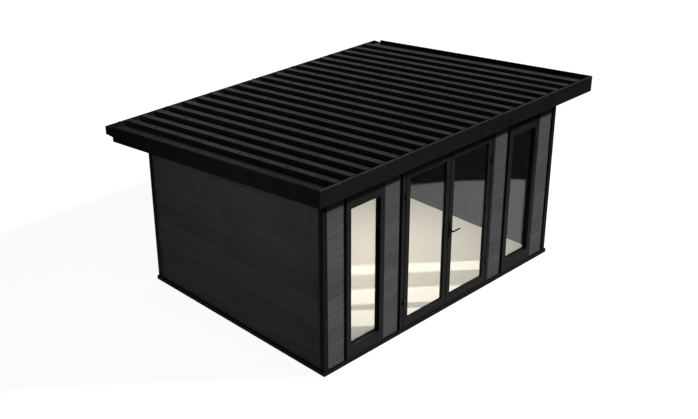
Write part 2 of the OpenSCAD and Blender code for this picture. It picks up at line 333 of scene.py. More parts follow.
def surface(tree: Tree, output: bpy.types.Node, **inputs: object) -> None:
    """Ends a material in a principled shader with the given inputs."""
    shader = add(tree, "ShaderNodeBsdfPrincipled", None, **inputs)
    tree.links.new(shader.outputs[0], output.inputs[0])


@dataclass(frozen=True)
class TwoTone:
    """A finish that wanders between a dark and a light colour."""

    name: str
    dark: str
    light: str


@dataclass(frozen=True)
class BrushedBoard(TwoTone):
    """Wood-fibre composite board, extruded and wire-brushed.

    To the eye: matt charcoal with fine streaks along the board, and each board a little lighter or darker.
    """

    pitch: float
    first: float
    streak: float = 11 * MM
    depth: float = 0.6 * MM
    lengthwise: float = 1.6
    blotches: float = 2.2
    streak_share: float = 0.5
    blotch_share: float = 0.2
    board_share: float = 0.2
    roughness: float = 0.72
    specular: float = 0.12

    def build(self) -> Material:
        """The material."""
        material, tree, output, place = new_material(self.name)
        # Brushing lines are under a millimetre apart: drawn 11 mm apart so that they show.
        along = stretched(tree, place, (self.lengthwise, self.lengthwise, 1 / self.streak))
        grain = noise(tree, along, scale=1.0, detail=5.0, roughness=0.65)
        slow = noise(tree, place, self.blotches, detail=2.0)
        height = add(tree, "ShaderNodeSeparateXYZ", None, Vector=place).outputs["Z"]
        rows = maths(tree, "DIVIDE", maths(tree, "SUBTRACT", height, self.first), self.pitch)
        board = maths(tree, "FLOOR", rows)
        tint = add(tree, "ShaderNodeTexWhiteNoise", {"noise_dimensions": "1D"}, W=board).outputs["Value"]
        # Streaks, slow blotches and the board's own tint add up to one light-dark factor.
        streaks = spread(tree, grain, NOISE_MIDDLE, (0.0, self.streak_share))
        blotch = spread(tree, slow, NOISE_MIDDLE, (0.0, self.blotch_share))
        own = maths(tree, "MULTIPLY", tint, self.board_share)
        total = maths(tree, "ADD", maths(tree, "ADD", streaks, blotch), own)
        surface(tree, output, Base_Color=two_tone(tree, total, self.dark, self.light),
                Roughness=self.roughness, Specular_IOR_Level=self.specular,
                Normal=bump(tree, grain, 0.5, self.depth))
        return material


@dataclass(frozen=True)
class Coated(TwoTone):
    """Metal under a polyester powder coat, baked on.

    To the eye: an even dark colour with a faint orange-peel skin and slightly worn, lighter patches.
    """

    roughness: float = 0.5
    specular: float = 0.2
    peel: float = 3 * MM
    depth: float = 0.05 * MM
    patches: float = 3.5
    patch_reach: tuple[float, float] = (0.32, 0.68)
    smoother: float = 0.04
    rougher: float = 0.06

    def build(self) -> Material:
        """The material."""
        material, tree, output, place = new_material(self.name)
        # Orange peel is about 1 mm across: drawn 3 mm across so that it shows.
        peel = noise(tree, place, 1 / self.peel, detail=2.0)
        patch = noise(tree, place, self.patches, detail=4.0, roughness=0.6)
        factor = spread(tree, patch, self.patch_reach, (0.0, 1.0))
        gloss = spread(tree, patch, NOISE_MIDDLE,
                       (self.roughness - self.smoother, self.roughness + self.rougher))
        surface(tree, output, Base_Color=two_tone(tree, factor, self.dark, self.light), Roughness=gloss,
                Specular_IOR_Level=self.specular, Normal=bump(tree, peel, 0.4, self.depth))
        return material


@dataclass(frozen=True)
class SatinMetal(TwoTone):
    """Metal ground with a fine belt along its length.

    To the eye: a soft grey shine drawn out in hair-fine lines.
    """

    roughness: float = 0.42
    line: float = 1.5 * MM
    lengthwise: float = 20.0
    depth: float = 0.02 * MM
    gloss_spread: float = 0.08

    def build(self) -> Material:
        """The material."""
        material, tree, output, place = new_material(self.name)
        # Belt lines are 0.1 mm apart: drawn 1.5 mm apart so that they show.
        drawn = stretched(tree, place, (self.lengthwise, 1 / self.line, 1 / self.line))
        lines = noise(tree, drawn, scale=1.0, detail=3.0)
        gloss = spread(tree, lines, NOISE_MIDDLE,
                       (self.roughness - self.gloss_spread, self.roughness + self.gloss_spread))
        surface(tree, output, Base_Color=two_tone(tree, lines, self.dark, self.light), Metallic=1.0,
                Roughness=gloss, Normal=bump(tree, lines, 0.2, self.depth))
        return material


@dataclass(frozen=True)
class FloorPlank(TwoTone):
    """Cream vinyl plank, printed and lightly embossed.

    To the eye: a plain warm off-white with a very faint grain along the planks.
    """

    grain: float = 25 * MM
    lengthwise: float = 1.2
    depth: float = 0.1 * MM
    roughness: float = 0.55
    specular: float = 0.3

    def build(self) -> Material:
        """The material."""
        material, tree, output, place = new_material(self.name)
        along = stretched(tree, place, (self.lengthwise, 1 / self.grain, 1 / self.grain))
        grain = noise(tree, along, scale=1.0, detail=4.0)
        surface(tree, output, Base_Color=two_tone(tree, grain, self.dark, self.light),
                Roughness=self.roughness, Specular_IOR_Level=self.specular,
                Normal=bump(tree, grain, 0.15, self.depth))
        return material


@dataclass(frozen=True)
class Glazing:
    """Float glass in a sealed double pane, lightly tinted.

    To the eye: clear, with a mirror image of the ground. Light for the room passes straight through it.
    """

    name: str
    tint: str
    passed: str
    ior: float = 1.5
    waves: float = 2.0
    depth: float = 0.2 * MM

    def build(self) -> Material:
        """The material."""
        material, tree, output, place = new_material(self.name)
        # Float glass waves over about half a metre: seen only as a slight unevenness of the mirror image.
        wave = noise(tree, place, self.waves, detail=0.0)
        glass = add(tree, "ShaderNodeBsdfPrincipled", None, Base_Color=linear(self.tint), Roughness=0.0,
                    IOR=self.ior, Transmission_Weight=1.0, Normal=bump(tree, wave, 0.05, self.depth))
        clear = add(tree, "ShaderNodeBsdfTransparent", None, Color=linear(self.passed))
        path = add(tree, "ShaderNodeLightPath").outputs
        soft = maths(tree, "MAXIMUM", path["Is Shadow Ray"], path["Is Diffuse Ray"])
        mixed = add(tree, "ShaderNodeMixShader", None, i0=soft, i1=glass.outputs[0], i2=clear.outputs[0])
        tree.links.new(mixed.outputs[0], output.inputs[0])
        return material


@dataclass
class Finishes:
    """Every finish of the building, built once."""

    def __post_init__(self) -> None:
        """Builds the materials."""
        rows = (BOARD_PITCH, BOARD_FIRST)
        self.boards = BrushedBoard("composite_board_brushed", "#383838", "#5d5d5d", *rows).build()
        self.lining = BrushedBoard("lining_board_stained", "#0c0c0c", "#161616", *rows).build()
        self.core = BrushedBoard("roof_panel_timber_stained", "#1a1815", "#2a2722", BOARD_PITCH, 0.0).build()
        self.trim = Coated("folded_steel_powder_coated", "#161616", "#1c1c1c", specular=0.02).build()
        # Lighter grey for the front flashing: a painted highlight along the fascia's top edge.
        self.flashing_highlight = Coated("flashing_painted_highlight", "#2e2e2e", "#3a3a3a", roughness=0.4).build()
        self.frames = Coated("aluminium_profile_powder_coated", "#1b1b1b", "#222222", specular=0.05).build()
        self.roof = Coated("ribbed_steel_sheet_coated", "#030303", "#060606", 0.4, 0.42).build()
        self.rubber = Coated("epdm_rubber_extruded", "#060606", "#0a0a0a", 0.65, 0.15).build()
        self.hinge = Coated("steel_hinge_black_coated", "#101010", "#181818", 0.35, 0.3).build()
        self.handle = Coated("zinc_handle_black_coated", "#060606", "#0c0c0c", roughness=0.4).build()
        self.screws = Coated("screw_head_painted", "#060606", "#0c0c0c", 0.45, 0.4).build()
        self.floor = FloorPlank("vinyl_plank_embossed", "#eee5d3", "#f6eddc").build()
        self.glass = Glazing("float_glass_sealed_pane", "#fdfdfb", "#ececec").build()
        self.threshold = SatinMetal("aluminium_threshold_anodised", "#2c2c2e", "#444448").build()

    def dress(self) -> None:
        """Gives every carried-over node the finish of its kind."""
        kinds = [
            (self.boards, ("wall_left", "wall_right", "wall_back", "front_beam", "panel_")),
            (self.trim, ("post_", "base_", "fascia_", "barge_", "soffit", "gutter")),
            (self.frames, ("window_frame_", "door_jamb_", "door_head", "door_stops", "door_leaf_")),
            (self.roof, ("roof_sheet_",)),
            (self.core, ("roof_core",)),
            (self.lining, ("ceiling",)),
            (self.floor, ("floor",)),
            (self.glass, ("window_glass_", "door_glass_")),
            (self.hinge, ("hinge_",)),
            (self.handle, ("handle_plates", "door_lever")),
            (self.threshold, ("door_threshold",)),
        ]
        for name, node in frame["nodes"].items():
            material = next(material for material, starts in kinds if name.startswith(starts))
            if len(node.material_slots) == 0:
                node.data.materials.append(material)
            for place in node.material_slots:
                place.material = material


# ---------------------------------------------------------------- walls


def soffit_under(y: np.ndarray | float) -> np.ndarray | float:
    """Height of the soffit's underside at depth y: a plane that falls by the roof's pitch."""
    low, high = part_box("soffit")
    return low.z + (high.y - y) * ROOF_PITCH


@dataclass
class Cladding:
    """Horizontal boards with a joint groove and a fine bead line, as one slab for each wall."""

    finish: Finishes
    thick: float = 8 * MM
    joint: float = 5 * MM
    joint_floor: float = 1.5 * MM
    bead_drop: float = 45 * MM
    bead: float = 3 * MM
    bead_depth: float = 1.5 * MM
    lap: float = 1 * MM
    soffit_gap: float = 2 * MM
    trim_w: float = 34 * MM
    trim_t: float = 2 * MM
    trim_rib: float = 3 * MM
    slope_gap: float = 8 * MM

    def relief(self, low: float, high: float) -> tuple[np.ndarray, np.ndarray]:
        """The boards' face as depth over height.

        The depth is the board's thickness, less a flat-bottomed groove at each joint and a small V a little
        below it. Joints stand at first + k * pitch.

        Args:
            low: height of the slab's foot.
            high: height of its top.

        Returns:
            Heights, rising, and the depth at each.
        """
        joints = BOARD_FIRST + BOARD_PITCH * np.arange(BOARD_JOINTS)
        beads = joints - self.bead_drop
        half, wide = self.joint / 2, self.bead / 2
        steps = np.array([-half - self.lap, -half, half, half + self.lap])
        z = (joints[:, None] + steps).ravel()
        d = np.tile([self.thick, self.joint_floor, self.joint_floor, self.thick], len(joints))
        z2 = (beads[:, None] + np.array([-wide, 0, wide])).ravel()
        d2 = np.tile([self.thick, self.thick - self.bead_depth, self.thick], len(beads))
        order = np.argsort(np.concatenate([z, z2]))
        z, d = np.concatenate([z, z2])[order], np.concatenate([d, d2])[order]
        inside = (z > low + self.lap) & (z < high - self.lap)
        ends = np.interp([low, high], z, d)
        return np.r_[low, z[inside], high], np.r_[ends[0], d[inside], ends[1]]

    def slab(self, base: Vector, along: Vector, outward: Vector, length: float, low: float, high: float,
             slope: tuple[float, float] | None = None) -> Shape:
        """A boarded slab: four columns of points (face and back, at both ends) with a row at each height.

        Args:
            base: a corner of the wall's plane, at height 0.
            along: unit direction of the boards.
            outward: unit direction that the boards' face looks.
            length: length of the boards.
            low: height of the foot.
            high: height of the top.
            slope: heights at the near and the far end of a line that falls by the roof's pitch. The boards
                are cut along it.

        Returns:
            The slab, closed.
        """
        z, depth = self.relief(low, high)
        far = np.full(len(z), length)
        if slope:
            cut = np.sort(np.r_[z, slope[1]])
            z, depth = cut, np.interp(cut, z, depth)
            far = np.clip((slope[0] - z) / ROOF_PITCH, 0, length)
        near = np.zeros(len(z))
        columns = [
            np.asarray(base) + u[:, None] * np.asarray(along) + d[:, None] * np.asarray(outward)
            + z[:, None] * np.asarray(UP)
            for u, d in ((near, depth), (far, depth), (far, 0 * depth), (near, 0 * depth))
        ]
        return Shape(np.stack(columns, 1).reshape(-1, 3), tube_faces(len(z), 4, closed=False))

    def end_trims(self, side: str, plane: float, sign: int, start: float, end: float, foot: float) -> None:
        """A strip with two ribs over the boards' ends, beside each corner post.

        Args:
            side: left or right.
            plane: x of the wall's plane.
            sign: which way the wall looks, -1 or 1.
            start: y of the boards' front end.
            end: y of their back end.
            foot: height of the strips' foot.
        """
        w, t, r = self.trim_w, self.thick + self.trim_t, self.trim_rib
        outline = np.array([
            (0, 0), (w, 0), (w, t + r), (w - r, t + r), (w - 2 * r, t), (2 * r, t), (r, t + r), (0, t + r),
        ])
        bars = []
        for y, way in ((start, BACK), (end, -BACK)):
            top = float(soffit_under(max(y, y + way.y * w))) - self.soffit_gap
            bars.append(prism(outline, Vector((plane, y, foot)), Vector((plane, y, top)), way, sign * RIGHT))
        make(f"board_end_trims_{side}", join(bars), self.finish.boards)

    def build(self) -> None:
        """Boards the outside walls, the front panels and the beam."""
        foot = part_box("base_left")[1].z
        for side, sign in (("left", -1), ("right", 1)):
            front_post, back_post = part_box(f"post_front_{side}"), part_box(f"post_back_{side}")
            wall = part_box(f"wall_{side}")
            plane = wall[0].x if sign < 0 else wall[1].x
            start, end = front_post[1].y, back_post[0].y
            top = float(soffit_under(start)) - self.slope_gap
            line = tuple(float(soffit_under(y)) - self.soffit_gap for y in (start, end))
            shape = self.slab(Vector((plane, start, 0)), BACK, sign * RIGHT, end - start, foot, top, line)
            make(f"boards_{side}", shape, self.finish.boards)
            self.end_trims(side, plane, sign, start, end, foot)
        left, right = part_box("post_back_left")[1].x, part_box("post_back_right")[0].x
        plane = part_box("wall_back")[1].y
        top = float(soffit_under(plane)) - self.soffit_gap
        shape = self.slab(Vector((left, plane, 0)), RIGHT, BACK, right - left, foot, top)
        make("boards_back", shape, self.finish.boards)
        for panel in PANELS:
            low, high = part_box(f"panel_{panel}")
            shape = self.slab(Vector((low.x, low.y, 0)), RIGHT, -BACK, high.x - low.x, foot, high.z)
            make(f"boards_{panel}", shape, self.finish.boards)
        low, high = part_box("front_beam")
        left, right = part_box("post_front_left")[1].x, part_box("post_front_right")[0].x
        shape = self.slab(Vector((left, low.y, 0)), RIGHT, -BACK, right - left, low.z, high.z)
        make("boards_beam", shape, self.finish.boards)


@dataclass
class GapStrips:
    """Black rubber strips that close the joint between each panel and the frame beside it."""

    finish: Finishes
    width: float = 14 * MM
    proud: float = 11 * MM

    def build(self) -> None:
        """One strip along every upright edge of the four panels, from the base rail to the panel's head."""
        arc = np.radians(np.linspace(0, 180, 7))
        half = self.width / 2
        bulge = np.stack([half + half * np.cos(arc), self.proud - half + half * np.sin(arc)], -1)
        outline = np.r_[[(0.0, 0.0)], [(self.width, 0.0)], bulge]
        bars = []
        for panel in PANELS:
            low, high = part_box(f"panel_{panel}")
            foot, top = Vector((0, low.y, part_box("base_left")[1].z)), Vector((0, low.y, high.z))
            for x, way in ((low.x, 1), (high.x, -1)):
                side = Vector((x, 0, 0))
                bars.append(prism(outline, foot + side, top + side, way * RIGHT, -BACK))
        make("panel_gap_strips", join(bars), self.finish.rubber)


@dataclass
class Corners:
    """Folded cover angles on the corner posts, with a fine rib by each edge."""

    finish: Finishes
    skin: float = 2 * MM
    rib: float = 4 * MM
    rib_high: float = 3 * MM
    gap: float = 6 * MM

    def outline(self, width: float) -> np.ndarray:
        """An L round the post's outer corner, thicker at both free edges."""
        s, t, r = self.skin, self.rib_high, self.rib
        w = width - r
        return np.array([
            (0, 0), (width, 0), (width, -t), (w, -t), (w, -s),
            (-s, -s), (-s, w), (-t, w), (-t, width), (0, width),
        ])

    def build(self) -> None:
        """One angle on each post."""
        for end, sy in (("front", -1), ("back", 1)):
            for side, sx in (("left", -1), ("right", 1)):
                low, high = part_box(f"post_{end}_{side}")
                x, y = (low.x if sx < 0 else high.x), (low.y if sy < 0 else high.y)
                top = min(high.z, float(soffit_under(high.y))) - self.gap
                outline = self.outline(high.x - low.x)
                foot, head = Vector((x, y, low.z + self.gap)), Vector((x, y, top))
                shape = prism(outline, foot, head, -sx * RIGHT, -sy * BACK)
                make(f"post_cover_{end}_{side}", shape, self.finish.trim)


@dataclass
class Room:
    """What shows inside: plank floor, lining boards and skirting."""

    finish: Finishes
    plank_w: float = 185 * MM
    plank_t: float = 3 * MM
    seam: float = 1.2 * MM
    skirting_h: float = 70 * MM
    skirting_t: float = 12 * MM
    skirting_round: float = 6 * MM
    clear: float = 3 * MM
    behind_stops: float = 56 * MM

    def floor(self) -> None:
        """Planks along X: height over y is the plank's thickness less a small V at each seam."""
        left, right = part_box("wall_left")[1].x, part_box("wall_right")[0].x
        front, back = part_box("door_stops")[1].y + self.behind_stops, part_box("wall_back")[0].y
        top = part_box("floor")[1].z
        seams = np.arange(front + self.plank_w, back - self.plank_w / 4, self.plank_w)
        y = (seams[:, None] + np.array([-self.seam, 0, self.seam])).ravel()
        h = np.tile([self.plank_t, self.plank_t - self.seam, self.plank_t], len(seams))
        outline = np.r_[[(front, 0)], [(back, 0)], [(back, self.plank_t)], np.stack([y, h], -1)[::-1],
                        [(front, self.plank_t)]]
        shape = prism(outline, Vector((left, 0, top)), Vector((right, 0, top)), BACK, UP)
        make("floor_planks", shape, self.finish.floor)

    def lining(self) -> None:
        """Dark boards on the three inner wall faces."""
        boards = Cladding(self.finish)
        low_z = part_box("floor")[1].z + self.plank_t
        left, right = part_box("wall_left")[1].x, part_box("wall_right")[0].x
        front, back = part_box("panel_outer_left")[1].y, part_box("wall_back")[0].y
        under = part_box("ceiling")[0].z - self.clear
        top = under + (back - front) * ROOF_PITCH
        for side, x, way in (("left", left, RIGHT), ("right", right, -RIGHT)):
            shape = boards.slab(Vector((x, front, 0)), BACK, way, back - front, low_z, top, (top, under))
            make(f"lining_{side}", shape, self.finish.lining)
        shape = boards.slab(Vector((left, back, 0)), RIGHT, -BACK, right - left, low_z, under)
        make("lining_back", shape, self.finish.lining)

    def skirting(self) -> None:
        """A rounded skirting board along the three walls."""
        t, h, r = self.skirting_t, self.skirting_h, self.skirting_round
        arc = np.radians(np.linspace(0, 90, 5))
        round_top = np.stack([t - r + r * np.cos(arc), h - r + r * np.sin(arc)], -1)
        outline = np.r_[[(0, 0)], [(t, 0)], round_top, [(0, h)]]
        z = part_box("floor")[1].z + self.plank_t
        lap = Cladding(self.finish).thick
        left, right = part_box("wall_left")[1].x + lap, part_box("wall_right")[0].x - lap
        front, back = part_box("panel_outer_left")[1].y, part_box("wall_back")[0].y - lap
        bars = [
            prism(outline, Vector((left, front, z)), Vector((left, back, z)), RIGHT, UP),
            prism(outline, Vector((right, front, z)), Vector((right, back, z)), -RIGHT, UP),
            prism(outline, Vector((left + t, back, z)), Vector((right - t, back, z)), -BACK, UP),
        ]
        make("skirting", join(bars), self.finish.frames)

    def build(self) -> None:
        """Builds the room's inside."""
        self.floor()
        self.lining()
        self.skirting()


# ---------------------------------------------------------------- windows and doors


@dataclass
class GlazedFrame:
    """Beads and rubber seals round one pane, inside and out."""

    finish: Finishes
    bead_w: float = 12 * MM
    bead_t: float = 9 * MM
    seal_w: float = 5 * MM
    seal_t: float = 3 * MM
    inset: float = 1 * MM
    nose: float = 0.4

    def bead(self, depth: float) -> np.ndarray:
        """A quarter-round bead: a is inwards, b is depth away from the pane."""
        arc = np.radians(np.linspace(0, 90, 6))
        curve = np.stack([self.bead_w * np.cos(arc), depth * np.sin(arc)], -1)
        return np.r_[[(0.0, 0.0)], curve]

    def build(self, name: str, holder: str, pane: str, body: Body) -> None:
        """Beads and seals of one pane.

        Args:
            name: start of the pieces' names.
            holder: the node of the frame that holds the pane.
            pane: the glass node.
            body: what they move with.
        """
        low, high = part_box(pane)
        outer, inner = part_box(holder)[0].y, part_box(holder)[1].y
        a, b = (low.x, low.z), (high.x, high.z)
        depth_out = min(self.bead_t, low.y - outer - self.inset)
        depth_in = min(self.bead_t, inner - high.y - self.inset)
        beads = [picture_frame(self.bead(depth_out) * (1, -1), a, b, low.y),
                 picture_frame(self.bead(depth_in), a, b, high.y)]
        make(f"{name}_beads", join(beads), self.finish.frames, body)
        root, shoulder, lip = self.bead_w - self.inset, self.bead_w + self.inset, self.bead_w + self.seal_w
        strip = np.array([(root, 0), (lip, 0), (lip, self.seal_t * self.nose), (shoulder, self.seal_t),
                          (root, self.seal_t)])
        seals = [picture_frame(strip * (1, -1), a, b, low.y), picture_frame(strip, a, b, high.y)]
        make(f"{name}_seals", join(seals), self.finish.rubber, body)


@dataclass
class Doorway:
    """Seals on the meeting edges, threshold ribs, hinge caps, plate screws and the lock's cylinder."""

    finish: Finishes
    rib_pitch: float = 12 * MM
    rib_high: float = 2.5 * MM
    rib_margin: float = 8 * MM
    rib_end: float = 2 * MM
    rib_root: float = 0.2 * MM
    rib_steps: int = 8
    finial_r: float = 7 * MM
    finial_h: float = 5 * MM
    finial_sides: int = 16
    hinge_l: float = 96 * MM
    screw_r: float = 4.5 * MM
    screw_h: float = 2 * MM
    screw_inset: float = 16 * MM
    screw_sides: int = 12
    lock_drop: float = 52 * MM
    lock_sides: int = 20
    key_w: float = 1.6 * MM
    key_h: float = 6 * MM
    key_from: float = 4 * MM
    key_to: float = 4.6 * MM
    seal_reach: float = 5.2 * MM
    seal_root: float = 0.5 * MM
    seal_shoulder: float = 0.6
    seal_deep: float = 10 * MM
    seal_back: float = 5 * MM

    def threshold(self) -> None:
        """Ribs along the threshold: height over depth is a row of low half rounds."""
        low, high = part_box("door_threshold")
        front, back = low.y + self.rib_margin, high.y - self.rib_margin
        turns = max(1, round((back - front) / self.rib_pitch))
        y = np.linspace(front, back, turns * self.rib_steps + 1)
        wave = np.abs(np.sin(np.pi * turns * (y - front) / (back - front)))
        outline = np.r_[np.stack([y, self.rib_high * wave], -1), [(back, -self.rib_root)],
                        [(front, -self.rib_root)]]
        start, end = Vector((low.x + self.rib_end, 0, high.z)), Vector((high.x - self.rib_end, 0, high.z))
        ribs = prism(outline, start, end, BACK, UP)
        make("threshold_ribs", ribs, self.finish.threshold)

    def finials(self) -> None:
        """A small domed cap on both ends of every hinge, on the joint's own axis."""
        arc = np.radians(np.linspace(0, 84, 6))
        dome = np.stack([self.finial_r * np.cos(arc), self.finial_h * np.sin(arc)], -1)
        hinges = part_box("hinge_jamb_halves")
        half = self.hinge_l / 2
        shapes = []
        for joint in frame["joints"]:
            if joint["name"].endswith("_hinge"):
                x, y, _ = joint["pos_m"]
                for z in (hinges[0].z + half, hinges[1].z - half):
                    shapes.append(lathe(dome, Vector((x, y, z + half)), UP, self.finial_sides))
                    shapes.append(lathe(dome, Vector((x, y, z - half)), -UP, self.finial_sides))
        make("hinge_finials", join(shapes), self.finish.hinge, smooth=True)

    def lock(self) -> None:
        """Two domed screws on each handle plate, and the lock's cylinder with its keyway below the lever."""
        low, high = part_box("handle_plates")
        middle = (low.x + high.x) / 2
        faces = ((low.y, -1), (high.y, 1))
        screws = []
        for y, face in faces:
            head = screw_head(self.screw_r, self.screw_h, (0, face, 0), self.screw_sides)
            places = [(middle, y, low.z + self.screw_inset), (middle, y, high.z - self.screw_inset)]
            screws.append(repeat(head, np.array(places)))
        make("plate_screws", join(screws), self.finish.handle, Body.RIGHT_DOOR, smooth=True)
        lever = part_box("door_lever")
        z = (lever[0].z + lever[1].z) / 2 - self.lock_drop
        # Radius and height of a short barrel with a chamfered rim and a face sunk in it.
        profile = np.array([(8.5, -1), (8.5, 4), (7.5, 5), (6, 5), (6, 4.2)]) * MM
        rings = [lathe(profile, Vector((middle, y, z)), face * BACK, self.lock_sides) for y, face in faces]
        make("lock_cylinders", join(rings), self.finish.handle, Body.RIGHT_DOOR)
        w, h = self.key_w / 2, self.key_h / 2
        slot = np.array([(-w, -h), (w, -h), (w, h), (-w, h)])
        keys = [prism(slot, Vector((middle, y + face * self.key_from, z)),
                      Vector((middle, y + face * self.key_to, z)), RIGHT, UP) for y, face in faces]
        make("lock_keyways", join(keys), self.finish.rubber, Body.RIGHT_DOOR)

    def meeting_seals(self) -> None:
        """A seal up each leaf's meeting edge, near its outside face, so that the leaves still pass."""
        reach, deep, shoulder = self.seal_reach, self.seal_deep, self.seal_reach * self.seal_shoulder
        outline = np.array([(-self.seal_root, 0), (shoulder, 0), (reach, deep / 4), (reach, deep * 3 / 4),
                            (shoulder, deep), (-self.seal_root, deep)])
        for side, body, way in (("left", Body.LEFT_DOOR, 1), ("right", Body.RIGHT_DOOR, -1)):
            low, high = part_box(f"door_leaf_{side}")
            x, y = (high.x if way > 0 else low.x), low.y + self.seal_back
            bar = prism(outline, Vector((x, y, low.z)), Vector((x, y, high.z)), way * RIGHT, BACK)
            make(f"meeting_seal_{side}", bar, self.finish.rubber, body)

    def build(self) -> None:
        """Builds the doorway's small parts."""
        self.meeting_seals()
        self.threshold()
        self.finials()
        self.lock()


# ---------------------------------------------------------------- roof


@dataclass
class Roof:
    """Screws on the ribs, folded edge flashings and gutter straps."""

    finish: Finishes
    rib_pitch: float = 219.5 * MM
    ribs: int = 20
    first_row: float = 0.51
    row_gap: float = 0.78
    rows: int = 4
    head_r: float = 9 * MM
    washer_r: float = 13 * MM
    head_h: float = 6 * MM
    head_sides: int = 8
    washer_t: float = 3 * MM
    washer_root: float = 0.2 * MM
    washer_sides: int = 10
    bedding: float = 0.3 * MM
    lip: float = 22 * MM
    lip_t: float = 2 * MM
    strap_w: float = 25 * MM
    strap_t: float = 3 * MM
    strap_gap: float = 0.62
    strap_inset: float = 0.2
    strap_drop: float = 18 * MM

    def screws(self) -> None:
        """Low heads on washers, in rows across every other rib, standing square to the slope."""
        low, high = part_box("roof_sheet_1")
        normal = Vector((0, ROOF_PITCH, 1)).normalized()
        head = screw_head(self.head_r, self.head_h, tuple(normal), self.head_sides)
        head = head.moved(tuple(normal * self.washer_t))
        ring = np.array([(self.washer_r, -self.washer_root), (self.washer_r, self.washer_t * 0.6),
                         (self.washer_r * 0.8, self.washer_t)])
        washer = lathe(ring, Vector((0, 0, 0)), normal, self.washer_sides)
        x = (np.arange(self.ribs) - (self.ribs - 1) / 2) * self.rib_pitch
        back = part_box("roof_core")[1].y
        y = back - self.first_row - self.row_gap * np.arange(self.rows)
        grid = np.stack(np.meshgrid(x[::2], y, indexing="ij"), -1).reshape(-1, 2)
        z = high.z - (grid[:, 1] - low.y) * ROOF_PITCH - self.bedding
        places = np.column_stack([grid, z])
        screws = join([repeat(head, places), repeat(washer, places)])
        make("roof_screws", screws, self.finish.screws)

    def flashings(self) -> None:
        """A thin angle that turns down outside, on the front fascia and, wider, on both barge boards."""
        t, w = self.lip_t, self.lip
        angle = np.array([(0, 0), (w, 0), (w, t), (-t, t), (-t, -w / 2), (0, -w / 2)])
        low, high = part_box("fascia_front")
        left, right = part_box("barge_left"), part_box("barge_right")
        narrow = np.array([(0, 0), (w / 2, 0), (w / 2, t), (-t, t), (-t, -w / 4), (0, -w / 4)])
        front = prism(narrow, Vector((low.x, low.y, high.z)), Vector((high.x, low.y, high.z)), BACK, UP)
        # Its lighter grey finish is a painted highlight along the fascia's top edge.
        make("front_flashing", front, self.finish.flashing_highlight)
        shapes = []
        for board, x, sign in ((left, left[0].x, 1), (right, right[1].x, -1)):
            top, run = board[1].z, board[1].y - board[0].y
            start = Vector((x, board[0].y, top))
            end = Vector((x, board[1].y, top - run * ROOF_PITCH))
            shapes.append(prism(angle, start, end, sign * RIGHT, UP))
        make("barge_flashings", join(shapes), self.finish.trim)

    def straps(self) -> None:
        """Flat straps over the gutter's mouth, bent down over its outer edge."""
        low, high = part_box("gutter")
        t, w, drop = self.strap_t, self.strap_w / 2, self.strap_drop
        count = int((high.x - low.x) / self.strap_gap)
        x = np.linspace(low.x + self.strap_inset, high.x - self.strap_inset, count)
        inner, outer = low.y + t, high.y + t
        outline = np.array([(inner, 0), (high.y, 0), (high.y, -drop), (outer, -drop), (outer, t), (inner, t)])
        bars = [prism(outline, Vector((c - w, 0, high.z)), Vector((c + w, 0, high.z)), BACK, UP) for c in x]
        make("gutter_straps", join(bars), self.finish.trim)

    def build(self) -> None:
        """Builds the roof's small parts."""
        self.screws()
        self.flashings()
        self.straps()


# ---------------------------------------------------------------- stage, light and camera


